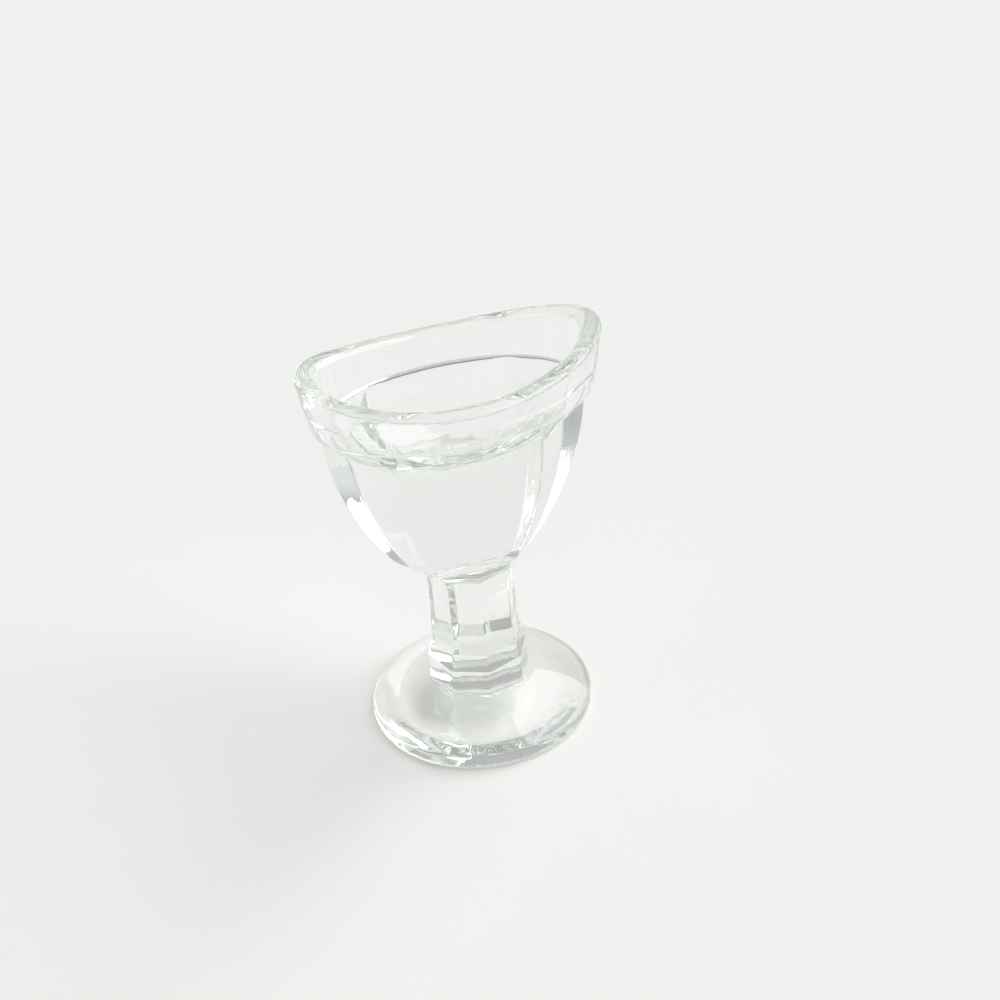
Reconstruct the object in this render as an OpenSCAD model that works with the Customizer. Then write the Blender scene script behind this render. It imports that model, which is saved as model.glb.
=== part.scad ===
// Eye bath of clear pressed glass: a round domed foot, an eight-sided plinth and
// waisted stem, a six-panelled oval bowl, and a smooth oval band with a saddle rim.
// Millimetres; X runs along the rim's long axis, Z up from the table.

/* [Foot] */
// Widest diameter of the round foot
foot_d = 30; // [26:0.5:36]
// Height of the foot's upright edge
foot_edge_h = 2.6; // [2:0.1:3.4]
// Height of the foot's flat land under the plinth
foot_h = 5.9; // [5:0.1:7]
// Radius that rounds the edge at the table and at the dome
foot_round = 0.8; // [0.4:0.1:0.9]
// Diameter of the shallow hollow under the foot
foot_hollow_d = 20; // [14:0.5:24]
// Depth of that hollow at its centre
foot_hollow_depth = 1.2; // [0.4:0.1:1.8]
// Flat land left round the plinth's corners
plinth_margin = 0.4; // [0.2:0.1:1]

/* [Plinth] */
// Height of the plinth's upright faces
plinth_h = 4.1; // [3:0.1:5.2]
// Height of the bevel from plinth to stem
plinth_bevel_h = 2.4; // [1.6:0.1:3.2]
// Width of that bevel
plinth_bevel_w = 0.65; // [0.4:0.05:1.2]

/* [Stem] */
// Height of the stem between plinth and collar
stem_h = 11.3; // [9:0.1:14]
// Stem across its corners at the waist
stem_waist_d = 11.9; // [11:0.1:13]
// Height of the waist above the plinth's bevel
stem_waist_h = 7.1; // [5:0.1:8.5]
// Radius of the long hollow in each face
stem_hollow_r = 110; // [80:5:160]

/* [Collar] */
// Thickness of the collar
collar_h = 0.9; // [0.6:0.1:1.6]
// Step of the collar's faces beyond the stem's
collar_step = 0.25; // [0.15:0.05:0.6]

/* [Bowl] */
// Height of the panelled bowl
bowl_h = 24.9; // [23:0.1:27]
// Width of the front and back panels under the band
front_panel_w = 20; // [18:0.2:21]
// Depth of the front and back panels inside the ledge
front_inset = 0.9; // [0.7:0.05:1.1]
// Depth of the bowl's end edges inside the ledge
end_inset = 0.2; // [0.1:0.05:0.5]
// Upright bend of the front and back panels
front_bend_r = 69; // [62:1:90]
// Upright bend of the four side panels
side_bend_r = 53; // [48:1:62]
// Height above the band's lower edge at which the panels would stand upright
panel_rise = 1; // [0:0.1:2]
// Edge of the collar left round the bowl's seat
seat_margin = 0.15; // [0.05:0.05:0.5]
// Outward slope of the bowl's underside at its two ends
seat_slope = 2.3; // [1.6:0.1:3]
// Height of the sloping ledge under the band
ledge_h = 5.4; // [5:0.1:5.8]
// Inward slope of the ledge along the long axis
ledge_slope = 0.76; // [0.7:0.02:0.84]

/* [Band] */
// Length of the oval band at its lower edge
band_l = 38; // [37:0.1:40]
// Width of the oval band at its lower edge
band_w = 22; // [21:0.1:24]
// Height of the band at the middle of the long sides
band_h = 4.8; // [3.8:0.1:6]
// Outward flare of the band along the long axis
band_flare = 0.18; // [0.12:0.01:0.22]
// Step of the band's lower edge beyond the ledge, at the two ends
band_step_end = 0.7; // [0.5:0.05:0.9]
// Step of the band's lower edge beyond the ledge, at the long sides
band_step_side = 1.6; // [1.3:0.05:1.8]
// Height by which the rim's two ends stand above its long sides
saddle_rise = 3.3; // [2:0.1:4.5]

/* [Hollow] */
// Depth of the hollow below the band's lower edge
hollow_depth = 7.2; // [6:0.1:9]
// Glass at the band's lower edge, at the two ends
wall_end = 3.5; // [3.2:0.1:4.2]
// Glass at the band's lower edge, at the long sides
wall_side = 3; // [2.7:0.05:3.4]
// Height of the egg that shapes the hollow, for each 1 of the hollow's depth
egg_stretch = 1.16; // [1.1:0.02:1.3]

/* [Lip] */
// Height of the rounded lip above the band
lip_h = 0.8; // [0.5:0.1:1.4]
// Outward swell of the lip past the band
lip_swell = 0.12; // [0:0.02:0.2]

/* [Hidden] */
$fn = 96;
// Sides of plinth, stem and collar, with corners on X and Y
sides = 8;
face_turn = 180 / sides;
// Reach of cutting bodies past the faces they cut
over = 1;
// Size of the large cutting bodies
far = 60;
// Turn that keeps the oval bodies' seams away from the rim's ends
seam_turn = 90;
// Facets of the long upright bends
bend_fn = 180;
// Steps round the lip and across its rounded top
lip_steps = 96;
lip_round = 10;

// Bulge of a bend of radius r at distance d from its middle
function bulge(r, d) = r - sqrt(pow(r, 2) - pow(d, 2));

// Distance from the axis to the stem's faces at foot, waist and top
waist_flat = stem_waist_d / 2 * cos(face_turn);
stem_foot_flat = waist_flat + bulge(stem_hollow_r, stem_waist_h);
stem_top_flat = waist_flat + bulge(stem_hollow_r, stem_h - stem_waist_h);
plinth_flat = stem_foot_flat + plinth_bevel_w;
plinth_d = 2 * plinth_flat / cos(face_turn);
collar_flat = stem_top_flat + collar_step;
collar_d = 2 * collar_flat / cos(face_turn);

foot_r = foot_d / 2;
foot_land_r = plinth_d / 2 + plinth_margin;

// Heights at which the sections meet
plinth_z = foot_h;
stem_z = plinth_z + plinth_h + plinth_bevel_h;
collar_z = stem_z + stem_h;
bowl_z = collar_z + collar_h;
band_z = bowl_z + bowl_h;
rim_z = band_z + band_h;
top_z = rim_z + saddle_rise + lip_h;

// Oval at the top of the ledge, the panels set in from it, and the bowl's round seat
oval_ratio = band_w / band_l;
ledge_half = band_l / 2 - band_step_end;
ledge_half_w = band_w / 2 - band_step_side;
front_flat = ledge_half_w - front_inset;
seat_r = collar_flat - seat_margin;
bowl_half = ledge_half - end_inset;
side_turn = atan2(bowl_half - front_panel_w / 2, front_flat);
side_flat = bowl_half * cos(side_turn);

// Half length of the band's outside at height z
function band_half(z) = band_l / 2 + (z - band_z) * band_flare;

// The saddle is one large round hollow across the rim
saddle_half = band_half(rim_z);
saddle_r = (pow(saddle_half, 2) + pow(saddle_rise, 2)) / (2 * saddle_rise);

// Height of the saddle at distance x from the middle
function saddle_z(x) = rim_z + bulge(saddle_r, x);

// The hollow is the end of an egg in the bowl and a straight flare in the band, meeting smoothly
hollow_z = band_z - hollow_depth;
hollow_half_l = band_l / 2 - wall_end;
hollow_ratio = (band_w / 2 - wall_side) / hollow_half_l;
hollow_flare = hollow_half_l * (egg_stretch - 1) / (hollow_depth * (2 * egg_stretch - 1));
egg_h = hollow_depth * egg_stretch;
egg_half = hollow_half_l * egg_stretch / sqrt(2 * egg_stretch - 1);

// Half length of the hollow at height z in the band
function hollow_half(z) = hollow_half_l + (z - band_z) * hollow_flare;

// Upright eight-sided bar
module bar(across, h) {
    cylinder(d = across, h = h, $fn = sides);
}

// Upright oval body between two half lengths
module oval(half_low, half_high, ratio, h) {
    scale([1, ratio, 1])
        rotate([0, 0, seam_turn])
            cylinder(r1 = half_low, r2 = half_high, h = h);
}

// Round foot: upright rounded edge, domed top, shallow hollow beneath
module foot() {
    shoulder_r = foot_r - foot_round;
    dome_z = (pow(foot_h, 2) + pow(foot_land_r, 2) - pow(foot_edge_h, 2) - pow(shoulder_r, 2))
             / (2 * (foot_h - foot_edge_h));
    dome_r = sqrt(pow(foot_land_r, 2) + pow(foot_h - dome_z, 2));
    cup_r = (pow(foot_hollow_d / 2, 2) + pow(foot_hollow_depth, 2)) / (2 * foot_hollow_depth);
    color([0.84, 0.9, 0.87, 0.6])
    rotate_extrude()
    difference() {
        intersection() {
            union() {
                square([shoulder_r, foot_h]);
                translate([0, foot_round])
                    square([foot_r, foot_edge_h - 2 * foot_round]);
                translate([shoulder_r, foot_round])
                    circle(foot_round);
                translate([shoulder_r, foot_edge_h - foot_round])
                    circle(foot_round);
            }
            union() {
                translate([0, dome_z])
                    circle(dome_r);
                square([foot_r, foot_edge_h]);
            }
            square([far, far]);
        }
        translate([0, foot_hollow_depth - cup_r])
            circle(cup_r);
    }
}

// Eight-sided plinth, bevelled in to the foot of the stem
module plinth() {
    lean = atan2(plinth_bevel_w, plinth_bevel_h);
    color([0.80, 0.88, 0.85, 0.6])
    translate([0, 0, plinth_z])
    difference() {
        bar(plinth_d, plinth_h + plinth_bevel_h);
        for (i = [0 : sides - 1])
            rotate([0, 0, face_turn + i * 360 / sides])
                translate([plinth_flat, 0, plinth_h])
                    rotate([0, -lean, 0])
                        translate([0, -far / 2, -far / 4])
                            cube([far / 2, far, far]);
    }
}

// Eight-sided stem, each face hollowed to a waist
module stem() {
    color([0.84, 0.9, 0.87, 0.6])
    difference() {
        translate([0, 0, stem_z])
            bar(plinth_d, stem_h);
        for (i = [0 : sides - 1])
            rotate([0, 0, face_turn + i * 360 / sides])
                translate([waist_flat + stem_hollow_r, 0, stem_z + stem_waist_h])
                    rotate([90, 0, 0])
                        cylinder(r = stem_hollow_r, h = far, center = true, $fn = bend_fn);
    }
}

// Thin eight-sided collar on which the bowl stands
module collar() {
    color([0.80, 0.88, 0.85, 0.6])
    translate([0, 0, collar_z])
        bar(collar_d, collar_h);
}

// Room behind one panel: flat across, bent upright, facing the given direction
module panel_room(turn, flat, bend_r) {
    rotate([0, 0, turn])
        translate([flat - bend_r, 0, band_z + panel_rise])
            rotate([90, 0, 0])
                cylinder(r = bend_r, h = 2 * far, center = true, $fn = bend_fn);
}

// Body bounded by the two broad panels and the four side panels, drawn in to a round seat below
module six_panels() {
    intersection() {
        translate([0, 0, bowl_z])
            cylinder(r1 = seat_r, r2 = seat_r + seat_slope * bowl_h, h = bowl_h);
        panel_room(90, front_flat, front_bend_r);
        panel_room(-90, front_flat, front_bend_r);
        panel_room(side_turn, side_flat, side_bend_r);
        panel_room(-side_turn, side_flat, side_bend_r);
        panel_room(180 - side_turn, side_flat, side_bend_r);
        panel_room(180 + side_turn, side_flat, side_bend_r);
    }
}

// Bowl: six panels below a sloping oval ledge, hollowed for the bathing water
module bowl() {
    color([0.86, 0.92, 0.9, 0.6])
    difference() {
        union() {
            six_panels();
            translate([0, 0, band_z - ledge_h])
                oval(ledge_half - ledge_h * ledge_slope, ledge_half, ledge_half_w / ledge_half, ledge_h);
        }
        translate([0, 0, hollow_z + egg_h])
            scale([egg_half, egg_half * hollow_ratio, egg_h])
                sphere(1);
    }
}

// Smooth oval band, flared outward and cut to the saddle
module band() {
    blank_h = top_z - band_z;
    color([0.84, 0.9, 0.87, 0.6])
    difference() {
        translate([0, 0, band_z])
            oval(band_half(band_z), band_half(top_z), oval_ratio, blank_h);
        translate([0, 0, band_z - over])
            oval(hollow_half(band_z - over), hollow_half(top_z + over), hollow_ratio, blank_h + 2 * over);
        translate([0, 0, rim_z + saddle_r])
            rotate([90, 0, 0])
                rotate([0, 0, seam_turn])
                    cylinder(r = saddle_r, h = far, center = true, $fn = 360);
    }
}

// Point of the lip: angle round the rim, share from inside to outside, height over the saddle
function lip_point(t, f, h, swell) =
    let (z = saddle_z(band_half(saddle_z(saddle_half * cos(t))) * cos(t)))
    let (inner = hollow_half(z))
    let (outer = band_half(z))
    let (x = (inner + (outer - inner) * f + swell) * cos(t))
    let (inner_w = inner * hollow_ratio)
    let (y = (inner_w + (outer * oval_ratio - inner_w) * f + swell) * sin(t))
    [x, y, saddle_z(x) + h];

// Rounded lip that follows the saddle all round the rim
module lip() {
    arch = [for (j = [0 : lip_round]) let (p = 180 * j / lip_round)
        [0.5 + 0.5 * cos(p), lip_h * sin(p), lip_swell * sin(p) * max(0, cos(p))]];
    seat = [[1 / 3, 0, 0], [2 / 3, 0, 0]];
    ring = concat(arch, seat);
    m = len(ring);
    pts = [for (i = [0 : lip_steps - 1]) for (q = ring)
        lip_point(360 * i / lip_steps, q[0], q[1], q[2])];
    quads = [for (i = [0 : lip_steps - 1]) for (j = [0 : m - 1])
        let (i2 = (i + 1) % lip_steps)
        let (j2 = (j + 1) % m)
        [i * m + j, i * m + j2, i2 * m + j2, i2 * m + j]];
    faces = [for (q = quads) each [[q[0], q[1], q[2]], [q[0], q[2], q[3]]]];
    color([0.80, 0.88, 0.85, 0.6])
    polyhedron(points = pts, faces = faces, convexity = 6);
}

foot();
plinth();
stem();
collar();
bowl();
band();
lip();
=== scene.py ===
# %% [markdown]
# # An eye bath of clear pressed glass
#
# The real object is one pressing. A plunger pushed hot glass into a mould, so the round foot, the
# eight-sided plinth and stem, the panelled bowl, the oval band and the lip have no air between them.
# In the CAD model they are separate sections that meet face to face. Glass bends light wherever it
# meets air, so a picture of it needs one unbroken skin with nothing inside. This lesson loads the
# CAD sections for their sizes and then draws that skin over them.

# %% Load the frame
import math

import bpy
import numpy as np
from mathutils import Matrix, Vector


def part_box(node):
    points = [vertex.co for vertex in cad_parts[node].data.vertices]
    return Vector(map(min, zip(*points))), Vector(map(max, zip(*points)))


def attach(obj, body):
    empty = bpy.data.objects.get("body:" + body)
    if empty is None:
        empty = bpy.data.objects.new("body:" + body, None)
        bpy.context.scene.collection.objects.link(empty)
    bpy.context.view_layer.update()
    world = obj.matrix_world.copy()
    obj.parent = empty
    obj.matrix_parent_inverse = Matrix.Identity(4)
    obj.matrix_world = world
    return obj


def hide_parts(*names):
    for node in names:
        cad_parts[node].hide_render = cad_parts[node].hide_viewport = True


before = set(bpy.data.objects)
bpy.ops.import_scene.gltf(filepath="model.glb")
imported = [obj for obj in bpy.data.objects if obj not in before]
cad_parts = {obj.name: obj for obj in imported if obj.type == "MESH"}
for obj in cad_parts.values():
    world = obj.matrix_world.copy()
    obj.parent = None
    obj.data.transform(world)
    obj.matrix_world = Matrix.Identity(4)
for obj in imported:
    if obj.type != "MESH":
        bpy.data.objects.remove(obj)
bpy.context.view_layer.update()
MM = 0.001
print("CAD nodes:", ", ".join(sorted(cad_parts)))

# %% [markdown]
# ## Sizes
#
# The heights and widths of the sections are read from the boxes of the CAD nodes, so the skin can't
# drift away from them. Only what a box can't tell, such as the radius of a bend or the wall of the
# cup, is written as a size of its own, beside the piece that needs it. All sizes of the cup are in
# millimetres until its mesh is made.

# %% Sizes from the frame


def reach(node):
    """Half length, half width and top of a CAD node, in millimetres."""
    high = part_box(node)[1]
    return high[0] / MM, high[1] / MM, high[2] / MM


foot_r, _, foot_top = reach("foot")
plinth_corner, _, plinth_top = reach("plinth")
stem_corner, _, stem_top = reach("stem")
collar_corner, _, collar_top = reach("collar")
ledge_l, ledge_w, bowl_top = reach("bowl")
lip_l, lip_w, lip_top = reach("lip")
rim_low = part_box("lip")[0][2] / MM
print(f"foot {2 * foot_r:.1f} mm, rim {2 * lip_l:.1f} by {2 * lip_w:.1f} mm, {lip_top:.1f} mm tall")

# %% [markdown]
# ## Angles round the axis
#
# Every ring of the skin has the same angles, so rings join to their neighbours point for point.
# Evenly spaced angles would spend most of their points on flat panels. These crowd towards the
# corners of the octagon, and near them lie the edges of the bowl's panels, so that each pressed edge
# gets several points across its rounding.

# %% Angles that crowd at the edges
AROUND = 320
CROWD = 2.5
CROWD_WIDTH = math.radians(7)
EIGHTH = math.pi / 4
FINE_STEPS = 7200


def crowded_angles():
    """Angles with a density of 1 plus a bell curve of the distance to the nearest multiple of 45 degrees."""
    fine = np.linspace(0, 2 * np.pi, FINE_STEPS + 1)
    off = np.abs((fine + EIGHTH / 2) % EIGHTH - EIGHTH / 2)
    density = 1 + CROWD * np.exp(-(off / CROWD_WIDTH) ** 2)
    run = np.concatenate([[0], np.cumsum((density[1:] + density[:-1]) / 2)])
    return np.interp(np.arange(AROUND) / AROUND * run[-1], run, fine)


turn = crowded_angles()
turn_gaps = np.degrees(np.diff(turn))
print(f"{AROUND} angles, {turn_gaps.min():.2f} to {turn_gaps.max():.2f} degrees apart")

# %% [markdown]
# ## Outlines seen from above
#
# Each outline is a radius for every angle. A polygon is the nearest of its face lines, and a power
# mean of them instead of the nearest rounds the corners a little, as the fire polish does on glass.

# %% Outlines
CRISP = 60.0


def polygon(facings, flats):
    """Rounded polygon: the inverse of the power mean of cos(angle - facing) / distance over its faces."""
    lean = np.clip(np.cos(turn[:, None] - facings), 0, None)
    near = lean / np.asarray(flats)[..., None, :]
    return (near ** CRISP).sum(axis=-1) ** (-1 / CRISP)


def octagon(flat):
    """Rounded octagon with corners on X and Y, at the given distances from axis to face."""
    facings = (np.arange(8) + 0.5) * EIGHTH
    return np.asarray(flat)[:, None] * polygon(facings, np.ones(8))


def oval(half_l, half_w):
    """Ellipse as a radius: 1 over the length of (cos / half length, sin / half width)."""
    return 1 / np.hypot(np.cos(turn) / half_l, np.sin(turn) / half_w)


def bulge(r, d):
    """How far an arc of radius r has curved away at distance d from its middle."""
    return r - np.sqrt(r**2 - d**2)


print(f"octagon corner rounds off {1 - octagon([1.0]).max() * math.cos(EIGHTH / 2):.1%} of its radius")

# %% [markdown]
# ## Profiles with rounded corners
#
# Hot glass doesn't fill a mould's corners. A profile is a short list of corner points, and each
# corner is replaced by an arc that touches both of its sides. A bevel modifier could do this on a
# finished mesh, but an arc in the profile keeps the rings clean and lets every corner have a radius.

# %% Profile helpers


def rounded(corners, radii, steps=6):
    """Polyline whose inner corners become arcs of the given radii, as an array of (out, up) points."""
    pts = [np.array(p, float) for p in corners]
    line = [pts[0][None]]
    for before, corner, after, r in zip(pts, pts[1:], pts[2:], radii):
        a = (before - corner) / np.linalg.norm(before - corner)
        b = (after - corner) / np.linalg.norm(after - corner)
        half = math.acos(np.clip(a @ b, -1, 1)) / 2
        middle = corner + (a + b) / np.linalg.norm(a + b) * r / math.sin(half)
        first = corner + a * r / math.tan(half) - middle
        last = corner + b * r / math.tan(half) - middle
        swing = math.pi - 2 * half
        s = np.linspace(0, 1, steps)[:, None]
        arc = (np.sin((1 - s) * swing) * first + np.sin(s * swing) * last) / math.sin(swing)
        line.append(middle + arc)
    line.append(pts[-1][None])
    return np.concatenate(line)


def filled(line, gap):
    """The same polyline with points added wherever two of them are more than gap apart."""
    run = np.concatenate([[0], np.cumsum(np.linalg.norm(np.diff(line, axis=0), axis=1))])
    extra = [np.linspace(a, b, int((b - a) / gap) + 2)[:-1] for a, b in zip(run, run[1:])]
    at = np.append(np.concatenate(extra), run[-1])
    return np.stack([np.interp(at, run, line[:, k]) for k in range(2)], axis=1)


bent = rounded([(0, 0), (2, 0), (2, 2)], [1.0])
print(f"a rounded right angle has {len(bent)} points, and {len(filled(bent, 0.5))} when filled")

# %% [markdown]
# ## Foot
#
# The foot is a thick round disc with a rounded upright edge, a domed top and a shallow hollow
# beneath, so that it stands on a ring. A Screw modifier could spin its profile round the axis, but
# rings with the shared angles join the octagon above without a seam. The hollow meets the ring
# through a soft maximum, which leaves no hard line there.

# %% Foot
foot_edge_h = 2.6
foot_hollow_r = 10.0
foot_hollow_depth = 1.2
foot_round = 0.8
shoulder_round = 1.1
ring_softness = 0.06
plinth_margin = 0.4
first_ring_r = 0.4
ring_gap = 0.3
shoulder_gap = 0.9
edge_gap = 0.5
UNDER_RINGS, EDGE_STEPS, DOME_RINGS = 26, 9, 16
land_r = plinth_corner + plinth_margin


def foot_rings():
    """Radii and heights: a spherical hollow, the resting ring, the rounded edge and the dome."""
    sphere_r = (foot_hollow_r**2 + foot_hollow_depth**2) / (2 * foot_hollow_depth)
    shoulder_r = foot_r - foot_round
    under_r = np.linspace(first_ring_r, shoulder_r - ring_gap, UNDER_RINGS)
    sphere_z = foot_hollow_depth - bulge(sphere_r, under_r)
    under_z = ring_softness * np.logaddexp(0, sphere_z / ring_softness)
    dome_z = (foot_top**2 + land_r**2 - foot_edge_h**2 - shoulder_r**2) / (2 * (foot_top - foot_edge_h))
    dome_r = math.hypot(land_r, foot_top - dome_z)
    top_r = np.linspace(shoulder_r - shoulder_gap, land_r, DOME_RINGS)
    top_z = dome_z + np.sqrt(dome_r**2 - top_r**2)
    edge_top = dome_z + math.sqrt(dome_r**2 - foot_r**2)
    corners = [(under_r[-1], 0), (foot_r, 0), (foot_r, edge_top), (top_r[0], top_z[0])]
    edge = filled(rounded(corners, [foot_round, shoulder_round], EDGE_STEPS), edge_gap)[1:-1]
    radius = np.concatenate([under_r, edge[:, 0], top_r])
    height = np.concatenate([under_z, edge[:, 1], top_z])
    return radius[:, None] + 0 * turn, height[:, None] + 0 * turn


foot_skin = foot_rings()
print(f"foot: {len(foot_skin[0])} rings, hollow {foot_skin[1][0, 0]:.2f} mm deep")

# %% [markdown]
# ## Plinth, stem and collar
#
# These three share one octagon, so one profile of distances from axis to face carries it all the way
# up: upright plinth, bevel, the long hollow of the stem's faces, and the thin collar. The hollow is
# an arc of a large circle, which is how a mould maker would cut it. A cylinder of eight sides could
# be extruded and scaled in steps instead, but its corners would be hard.

# %% Sizes of the plinth, stem and collar
plinth_bevel_h = 2.4
plinth_rounds = [0.28, 0.35, 0.5]
plinth_gap = 0.6
stem_waist_d = 11.9
stem_waist_h = 7.1
stem_hollow_r = 110.0
stem_low_gap = 0.6
stem_high_gap = 0.4
collar_rounds = [0.1, 0.1, 0.12]
collar_gap = 0.3
foot_land = 0.3
bowl_land = 0.13
STEM_RINGS = 26
face_cos = math.cos(EIGHTH / 2)
plinth_flat = plinth_corner * face_cos
stem_foot_flat = stem_corner * face_cos
stem_waist_flat = stem_waist_d / 2 * face_cos
stem_waist_z = plinth_top + stem_waist_h
collar_flat = collar_corner * face_cos
print(f"across flats: plinth {2 * plinth_flat:.1f} mm, waist {2 * stem_waist_flat:.1f} mm")

# %% Plinth, stem and collar


def shaft_rings():
    """Octagon rings along the profile of plinth, bevel, hollowed stem and collar."""
    stem_z = np.linspace(plinth_top + stem_low_gap, stem_top - stem_high_gap, STEM_RINGS)
    stem_flat = stem_waist_flat + bulge(stem_hollow_r, stem_z - stem_waist_z)
    low = [(plinth_flat + foot_land, foot_top), (plinth_flat, foot_top),
           (plinth_flat, plinth_top - plinth_bevel_h), (stem_foot_flat, plinth_top),
           (stem_flat[0], stem_z[0])]
    plinth_line = filled(rounded(low, plinth_rounds), plinth_gap)[:-1]
    high = [(stem_flat[-1], stem_z[-1]), (stem_flat[-1], stem_top), (collar_flat, stem_top),
            (collar_flat, collar_top), (collar_flat - bowl_land, collar_top)]
    collar_line = filled(rounded(high, collar_rounds), collar_gap)[1:]
    flat = np.concatenate([plinth_line[:, 0], stem_flat, collar_line[:, 0]])
    height = np.concatenate([plinth_line[:, 1], stem_z, collar_line[:, 1]])
    return octagon(flat), height[:, None] + 0 * turn


shaft_skin = shaft_rings()
print(f"plinth, stem and collar: {len(shaft_skin[0])} rings")

# %% [markdown]
# ## Panels of the bowl
#
# The bowl has a broad panel in front and behind and two narrower ones at each end. Each panel is
# flat across and bends inward on its way down, so it is an arc of a large circle seen from the side.
# Six boolean cuts could carve them from a block, but they leave hard edges and slivers where two arcs
# meet, so the outline is worked out for each height.

# %% Panels of the bowl
front_panel_w = 20.0
front_inset = 0.9
front_bend_r = 69.0
end_inset = 0.2
side_bend_r = 53.0
panel_rise = 1.0
front_flat = ledge_w - front_inset
bowl_half = ledge_l - end_inset
side_turn = math.atan2(bowl_half - front_panel_w / 2, front_flat)
side_flat = bowl_half * math.cos(side_turn)


def panel_radius(z):
    """Six-panelled outline at each height: every face moves in by the bulge of its bend."""
    drop = bowl_top + panel_rise - z
    front = front_flat - bulge(front_bend_r, drop)
    side = side_flat - bulge(side_bend_r, drop)
    quarter = math.pi / 2
    facings = np.array([quarter, -quarter, side_turn, -side_turn,
                        math.pi - side_turn, math.pi + side_turn])
    return polygon(facings, np.stack([front, front, side, side, side, side], axis=-1))


print(f"side panels face {math.degrees(side_turn):.1f} degrees from the long axis")

# %% [markdown]
# ## Outside of the bowl
#
# A sloping oval ledge grows out of the panels under the band and fills the corner between them, and
# at the bottom a short cone leads the panels in to their seat on the collar. A power mean joins these
# surfaces, since it takes the larger or the smaller radius and leaves a small fillet between them.
# Rows crowd at the seat and at the ledge, where the outline changes fastest.

# %% Outside of the bowl
seat_margin = 0.15
seat_slope = 2.3
seat_zone = 3.0
ledge_slope = 0.76
ledge_zone = 5.0
ledge_least = 1.0
FILLET = 80.0
SEAT_RINGS, PANEL_RINGS, LEDGE_RINGS = 16, 30, 30
seat_r = collar_flat - seat_margin


def bowl_rings():
    """Rings of the larger of panels and ledge, from the collar up to the band."""
    seat_top, ledge_low = collar_top + seat_zone, bowl_top - ledge_zone
    z = np.concatenate([np.linspace(collar_top, seat_top, SEAT_RINGS)[:-1],
                        np.linspace(seat_top, ledge_low, PANEL_RINGS)[:-1],
                        np.linspace(ledge_low, bowl_top, LEDGE_RINGS)])
    seat = (seat_r + seat_slope * (z - collar_top))[:, None]
    panels = (panel_radius(z) ** -FILLET + seat**-FILLET) ** (-1 / FILLET)
    ledge_half = np.clip(ledge_l - ledge_slope * (bowl_top - z), ledge_least, None)
    ledge = oval(ledge_half[:, None], ledge_half[:, None] * ledge_w / ledge_l)
    radius = (panels**FILLET + ledge**FILLET) ** (1 / FILLET)
    return radius, z[:, None] + 0 * turn


bowl_skin = bowl_rings()
print(f"bowl: {len(bowl_skin[0])} rings")

# %% [markdown]
# ## Walls of the band
#
# The band is an oval cone that stands a little proud of the ledge. Its top follows a saddle, the cut
# of one large cylinder, so that the two ends rise to the corners of the eye. A boolean cut could make
# that top, but it would leave no even row of points for the lip. The height of each point depends on
# where it lies along X, so a few rounds of substitution find the ring where wall and saddle meet.

# %% Sizes of the band
band_step_end = 0.7
band_step_side = 1.6
band_flare = 0.18
saddle_rise = 3.3
wall_end = 3.5
wall_side = 3.0
hollow_depth = 7.2
egg_stretch = 1.16
band_half_l = ledge_l + band_step_end
band_half_w = ledge_w + band_step_side
band_ratio = band_half_w / band_half_l
hollow_half_l = band_half_l - wall_end
hollow_ratio = (band_half_w - wall_side) / hollow_half_l
hollow_flare = hollow_half_l * (egg_stretch - 1) / (hollow_depth * (2 * egg_stretch - 1))
saddle_half = band_half_l + band_flare * (rim_low - bowl_top)
saddle_r = (saddle_half**2 + saddle_rise**2) / (2 * saddle_rise)
print(f"band: {2 * band_half_l:.1f} by {2 * band_half_w:.1f} mm, saddle radius {saddle_r:.1f} mm")

# %% Walls of the band
SADDLE_ROUNDS = 6


def outer_wall(z):
    """Oval outside of the band, flaring with height."""
    half = band_half_l + band_flare * (z - bowl_top)
    return oval(half, half * band_ratio)


def inner_wall(z):
    """Oval inside of the band, flaring with height."""
    half = hollow_half_l + hollow_flare * (z - bowl_top)
    return oval(half, half * hollow_ratio)


def saddle_edge(wall):
    """Radius and height of the ring where a wall meets the saddle."""
    z = np.full(AROUND, rim_low)
    for _ in range(SADDLE_ROUNDS):
        z = rim_low + bulge(saddle_r, wall(z) * np.cos(turn))
    return wall(z), z


outer_r, outer_z = saddle_edge(outer_wall)
inner_r, inner_z = saddle_edge(inner_wall)
print(f"rim: ends {outer_z.max() - outer_z.min():.2f} mm above the sides,",
      f"wall {(outer_r - inner_r).min():.2f} mm")

# %% [markdown]
# ## Band and lip
#
# The band leaves the ledge in a small quarter round, since the step there is a corner of the mould
# too. The lip is an arch from the outer wall to the inner wall at every angle, a little fuller on
# the outside, as a fire-polished edge is. A bevel could round both edges, but its width would change
# with the slope of the saddle.

# %% Band and lip
band_round = 0.3
step_share = 0.9
lip_h = 0.8
lip_swell = 0.12
ROUND_RINGS, BAND_RINGS, LIP_RINGS = 7, 12, 20


def band_rings():
    """A quarter round from the step at the ledge to the lower edge, then the outside up to the saddle."""
    p = np.linspace(0, np.pi / 2, ROUND_RINGS)[:, None]
    inset = np.minimum(band_round, step_share * (outer_wall(bowl_top) - bowl_skin[0][-1]))
    low_r = outer_wall(bowl_top) - inset * (1 - np.sin(p))
    low_z = bowl_top + band_round * (1 - np.cos(p)) + 0 * turn
    up = np.linspace(0, 1, BAND_RINGS)[1:, None]
    high_z = low_z[-1] + (outer_z - low_z[-1]) * up
    return np.concatenate([low_r, outer_wall(high_z)]), np.concatenate([low_z, high_z])


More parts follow.
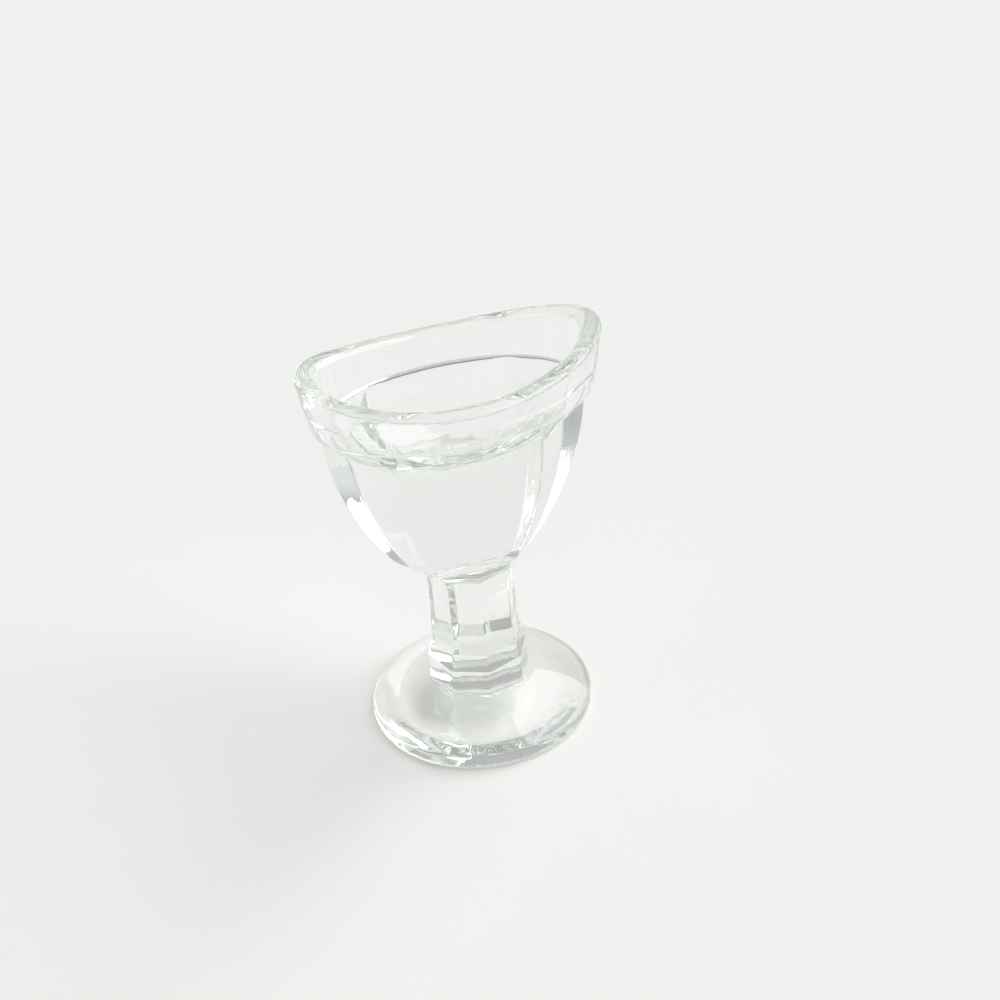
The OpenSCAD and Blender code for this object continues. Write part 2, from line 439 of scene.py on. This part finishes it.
def lip_rings():
    """Arch over the wall: the share from inside to outside is (1 + cos p) / 2, the height is sin p."""
    p = np.linspace(0, np.pi, LIP_RINGS)[1:, None]
    swell = lip_swell * np.sin(p) * np.clip(np.cos(p), 0, None)
    radius = inner_r + (outer_r - inner_r) * (0.5 + 0.5 * np.cos(p)) + swell
    height = rim_low + bulge(saddle_r, radius * np.cos(turn)) + lip_h * np.sin(p)
    return radius, height


band_skin, lip_skin = band_rings(), lip_rings()
print(f"band: {len(band_skin[0])} rings, lip: {len(lip_skin[0])} rings")

# %% [markdown]
# ## The hollow
#
# The plunger left the hollow smooth: a straight flare in the band and, below it, a shallow dish shaped
# like the end of an egg. Half a sphere could be scaled and cut out for the dish, but a line would show
# at its edge. The egg's slope at the top equals the flare, so no line shows where they meet. Seen
# through the front panel, the bottom of the dish draws the curved line under the band.

# %% The hollow
FLARE_RINGS, DISH_RINGS = 10, 46
egg_h = hollow_depth * egg_stretch
egg_half = hollow_half_l * egg_stretch / math.sqrt(2 * egg_stretch - 1)
hollow_z = bowl_top - hollow_depth
egg_z = hollow_z + egg_h


def hollow_rings():
    """Inside of the band down from the lip, then ovals of half length cos p at depth sin p of the egg."""
    down = np.linspace(0, 1, FLARE_RINGS)[1:, None]
    flare_z = inner_z + (bowl_top - inner_z) * down
    p = np.linspace(math.asin((egg_z - bowl_top) / egg_h), math.pi / 2, DISH_RINGS)[1:-1, None]
    half = egg_half * np.cos(p)
    egg = egg_z - egg_h * np.sin(p) + 0 * turn
    return (np.concatenate([inner_wall(flare_z), oval(half, half * hollow_ratio)]),
            np.concatenate([flare_z, egg]))


hollow_skin = hollow_rings()
print(f"hollow: {len(hollow_skin[0])} rings, {lip_top - hollow_skin[1].min():.1f} mm below the lip")

# %% [markdown]
# ## One skin
#
# All rings are stacked in the order in which a finger would follow the profile: from the middle of
# the underside, out and up the outside, over the lip and down to the bottom of the hollow. Two pole
# points close it. The order of the corners in each face makes all faces point outwards. Separate
# pieces could be joined into one object, but the faces between them would stay inside and bend light.

# %% Join the rings into one mesh


def skin_mesh(name, sections, low_pole, high_pole):
    """Closed mesh from stacked rings: quads between rings and a fan of triangles at each pole."""
    radius = np.concatenate([s[0] for s in sections])
    height = np.concatenate([s[1] for s in sections])
    rings = len(radius)
    points = np.stack([radius * np.cos(turn), radius * np.sin(turn), height], axis=-1).reshape(-1, 3)
    points = np.concatenate([points, [[0, 0, low_pole], [0, 0, high_pole]]]) * MM
    here = np.arange(AROUND)
    after = (here + 1) % AROUND
    start = (np.arange(rings - 1) * AROUND)[:, None]
    above = start + AROUND
    quads = np.stack([start + here, start + after, above + after, above + here], axis=-1)
    last = (rings - 1) * AROUND
    low, high = np.full(AROUND, rings * AROUND), np.full(AROUND, rings * AROUND + 1)
    fans = np.concatenate([np.stack([low, after, here], axis=-1),
                           np.stack([last + here, last + after, high], axis=-1)])
    mesh = bpy.data.meshes.new(name)
    mesh.from_pydata(points.tolist(), [], quads.reshape(-1, 4).tolist() + fans.tolist())
    mesh.shade_smooth()
    piece = bpy.data.objects.new(name, mesh)
    bpy.context.scene.collection.objects.link(piece)
    return piece


glass_cup = skin_mesh(
    "glass_cup",
    [foot_skin, shaft_skin, bowl_skin, band_skin, lip_skin, hollow_skin],
    foot_hollow_depth,
    hollow_z,
)
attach(glass_cup, "root")
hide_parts("foot", "plinth", "stem", "collar", "bowl", "band", "lip")
print(f"glass_cup: {len(glass_cup.data.vertices)} points, {len(glass_cup.data.polygons)} faces")

# %% [markdown]
# ## Glass
#
# Old pressed glass is clear with a breath of green from the iron in its sand. The green shows only
# where light travels a long way inside, at the rim's ends and the edge of the foot, so it belongs in
# the volume as absorption and not in the surface. The surface has a slow waviness from the mould and
# a fine ripple from the fire polish, and both are bumps, since neither changes the outline. A Glass
# shader would bend light as well, but more programs understand the Principled one.

# %% Glass material
GLASS_IOR = 1.51
WAVE_SIZE, WAVE_DEPTH = 7.0, 0.12
RIPPLE_SIZE, RIPPLE_DEPTH = 2.0, 0.025
IRON_TINT = (0.84, 0.89, 0.85, 1)
IRON_DENSITY = 24


def noise_bump(nodes, links, place, size, depth):
    """Bump node whose height is smooth noise, with its size and depth in millimetres."""
    noise = nodes.new("ShaderNodeTexNoise")
    noise.inputs["Scale"].default_value = 1 / (size * MM)
    noise.inputs["Detail"].default_value = 1
    bump = nodes.new("ShaderNodeBump")
    bump.inputs["Distance"].default_value = depth * MM
    links.new(place.outputs["Object"], noise.inputs["Vector"])
    links.new(noise.outputs["Fac"], bump.inputs["Height"])
    return bump


def glass_material():
    """Principled glass with absorption in its volume and two sizes of bump for waviness and ripple."""
    material = bpy.data.materials.new("clear_pressed_glass")
    material.use_nodes = True
    nodes, links = material.node_tree.nodes, material.node_tree.links
    shader = nodes["Principled BSDF"]
    shader.inputs["Base Color"].default_value = (1, 1, 1, 1)
    shader.inputs["Roughness"].default_value = 0
    shader.inputs["IOR"].default_value = GLASS_IOR
    shader.inputs["Transmission Weight"].default_value = 1
    place = nodes.new("ShaderNodeTexCoord")
    wave = noise_bump(nodes, links, place, WAVE_SIZE, WAVE_DEPTH)
    ripple = noise_bump(nodes, links, place, RIPPLE_SIZE, RIPPLE_DEPTH)
    links.new(wave.outputs["Normal"], ripple.inputs["Normal"])
    links.new(ripple.outputs["Normal"], shader.inputs["Normal"])
    absorption = nodes.new("ShaderNodeVolumeAbsorption")
    absorption.inputs["Color"].default_value = IRON_TINT
    absorption.inputs["Density"].default_value = IRON_DENSITY
    links.new(absorption.outputs["Volume"], nodes["Material Output"].inputs["Volume"])
    return material


glass_cup.data.materials.append(glass_material())
print("glass:", len(glass_cup.data.materials[0].node_tree.nodes), "nodes")

# %% [markdown]
# ## Floor
#
# The cup stands on a plain white board, large enough to fill the picture. A backdrop that curves up
# could do the same, but seen from above the board alone is enough.

# %% Floor
FLOOR_HALF = 3.0
BOARD_WHITE = (0.90, 0.895, 0.88, 1)
BOARD_ROUGHNESS = 0.6
BOARD_SHINE = 0.2


def floor():
    """One level square under the foot, with a matt white finish."""
    mesh = bpy.data.meshes.new("floor")
    corners = [(-1, -1), (1, -1), (1, 1), (-1, 1)]
    mesh.from_pydata([(x * FLOOR_HALF, y * FLOOR_HALF, 0) for x, y in corners], [], [(0, 1, 2, 3)])
    board = bpy.data.objects.new("floor", mesh)
    bpy.context.scene.collection.objects.link(board)
    white = bpy.data.materials.new("white_board")
    white.use_nodes = True
    shader = white.node_tree.nodes["Principled BSDF"]
    shader.inputs["Base Color"].default_value = BOARD_WHITE
    shader.inputs["Roughness"].default_value = BOARD_ROUGHNESS
    shader.inputs["Specular IOR Level"].default_value = BOARD_SHINE
    mesh.materials.append(white)
    return board


floor()
print(f"floor: {2 * FLOOR_HALF:.0f} m square")

# %% [markdown]
# ## Light inside the glass
#
# Clear glass is drawn by what it bends into view. Light that meets the skin at a slant stays inside
# and may be reflected dozens of times before it gets out. Cycles stops a path after four reflections
# unless it is told otherwise, and each path that stops leaves a black speck, so the limits go up
# here. Cycles also frosts glass for light on its way to a matt surface, which keeps noise down but
# leaves the floor under the foot dark, so that filter is off.

# %% Light paths
INNER_BOUNCES = 32
paths = bpy.context.scene.cycles
paths.max_bounces = INNER_BOUNCES
paths.glossy_bounces = INNER_BOUNCES
paths.transmission_bounces = INNER_BOUNCES
paths.blur_glossy = 0
print("light may bounce", INNER_BOUNCES, "times inside the glass")

# %% [markdown]
# ## Studio
#
# A studio that is white all round would hide clear glass. This one is pale near the horizon, as if
# the board went on, and above that it is a grey that darkens towards the front. An image of a real
# studio could light the cup too, but two smooth steps between three greys are easier to tune.

# %% World
STUDIO_LOW = 0.84
STUDIO_BACK = 0.50
STUDIO_FRONT = 0.44
FRONT_TO_BACK = (-0.9, 0.3)
LOW_TO_HIGH = (0.08, 0.32)


def smooth_step(nodes, start, end):
    """Map Range node that eases from its lower to its upper value as the input goes from start to end."""
    step = nodes.new("ShaderNodeMapRange")
    step.interpolation_type = "SMOOTHSTEP"
    step.inputs["From Min"].default_value = start
    step.inputs["From Max"].default_value = end
    return step


def studio_world():
    """World that is pale at the horizon and, above it, falls in brightness from back to front."""
    world = bpy.data.worlds.new("studio")
    bpy.context.scene.world = world
    world.use_nodes = True
    nodes, links = world.node_tree.nodes, world.node_tree.links
    studio = nodes["Background"]
    studio.inputs["Color"].default_value = (1, 1, 1, 1)
    place = nodes.new("ShaderNodeTexCoord")
    split = nodes.new("ShaderNodeSeparateXYZ")
    links.new(place.outputs["Generated"], split.inputs["Vector"])
    fall = smooth_step(nodes, *FRONT_TO_BACK)
    fall.inputs["To Min"].default_value = STUDIO_FRONT
    fall.inputs["To Max"].default_value = STUDIO_BACK
    links.new(split.outputs["Y"], fall.inputs["Value"])
    rise = smooth_step(nodes, *LOW_TO_HIGH)
    rise.inputs["To Min"].default_value = STUDIO_LOW
    links.new(split.outputs["Z"], rise.inputs["Value"])
    links.new(fall.outputs["Result"], rise.inputs["To Max"])
    links.new(rise.outputs["Result"], studio.inputs["Strength"])


studio_world()
print(f"studio: {STUDIO_LOW} at the horizon, {STUDIO_BACK} behind and {STUDIO_FRONT} in front above it")

# %% [markdown]
# ## Lamp
#
# One wide, far soft box at the right makes the floor white. An area lamp close by would burn out the
# floor beside it, so this one is a sun lamp with a very wide disc, which lights the floor evenly. It
# stands low enough to leave the studio overhead grey, because the step under the band shows what is
# overhead, and there it has to draw a dark line.

# %% Lamp
LAMP_FROM = Vector((0.46, 0.06, 0.42))
LAMP_SPREAD = math.radians(66)
LAMP_POWER = 2.25


def soft_sun(name):
    """Sun lamp that shines from one direction, with a disc wide enough to act as a soft box."""
    data = bpy.data.lights.new(name, "SUN")
    data.angle = LAMP_SPREAD
    data.energy = LAMP_POWER
    lamp = bpy.data.objects.new(name, data)
    lamp.rotation_euler = (-LAMP_FROM).to_track_quat("-Z", "Y").to_euler()
    bpy.context.scene.collection.objects.link(lamp)
    return lamp


soft_box = soft_sun("soft_box")
print(f"lamp: {math.degrees(soft_box.data.angle):.0f} degrees wide")

# %% [markdown]
# ## Camera
#
# The picture was taken from a little above with a long lens, and the camera was tipped slightly, so
# the cup leans to the left. A camera can be set by eye in the viewport, but three angles can be
# measured and repeated. The pixel at which the middle of the foot shows fixes where it stands.

# %% Camera
PICTURE = 1000
FOCAL = 4000
SENSOR = 36
LOOK_DOWN = math.radians(35.5)
LOOK_ROUND = math.radians(12.0)
TIP = math.radians(5.4)
FOOT_PIXEL = (482.8, 700.4)
FOOT_SCALE = 7.27


def photo_camera():
    """Camera turned by the look-down, look-round and tip angles and placed by the foot's pixel."""
    ahead = Vector((math.sin(LOOK_ROUND) * math.cos(LOOK_DOWN),
                    math.cos(LOOK_ROUND) * math.cos(LOOK_DOWN), -math.sin(LOOK_DOWN)))
    level = ahead.cross(Vector((0, 0, 1))).normalized()
    right = Matrix.Rotation(TIP, 3, ahead) @ level
    up = right.cross(ahead)
    away = FOCAL / FOOT_SCALE * MM
    across = (FOOT_PIXEL[0] - PICTURE / 2) / FOCAL * away
    below = (FOOT_PIXEL[1] - PICTURE / 2) / FOCAL * away
    data = bpy.data.cameras.new("camera")
    data.sensor_width = SENSOR
    data.lens = SENSOR * FOCAL / PICTURE
    camera = bpy.data.objects.new("camera", data)
    turned = Matrix((right, up, -ahead)).transposed()
    camera.matrix_world = Matrix.Translation(up * below - right * across - ahead * away) @ turned.to_4x4()
    bpy.context.scene.collection.objects.link(camera)
    bpy.context.scene.camera = camera
    return camera


camera = photo_camera()
bpy.context.scene.view_settings.view_transform = "Standard"
print("camera:", [round(c, 4) for c in camera.location], f"lens {camera.data.lens:.0f} mm")
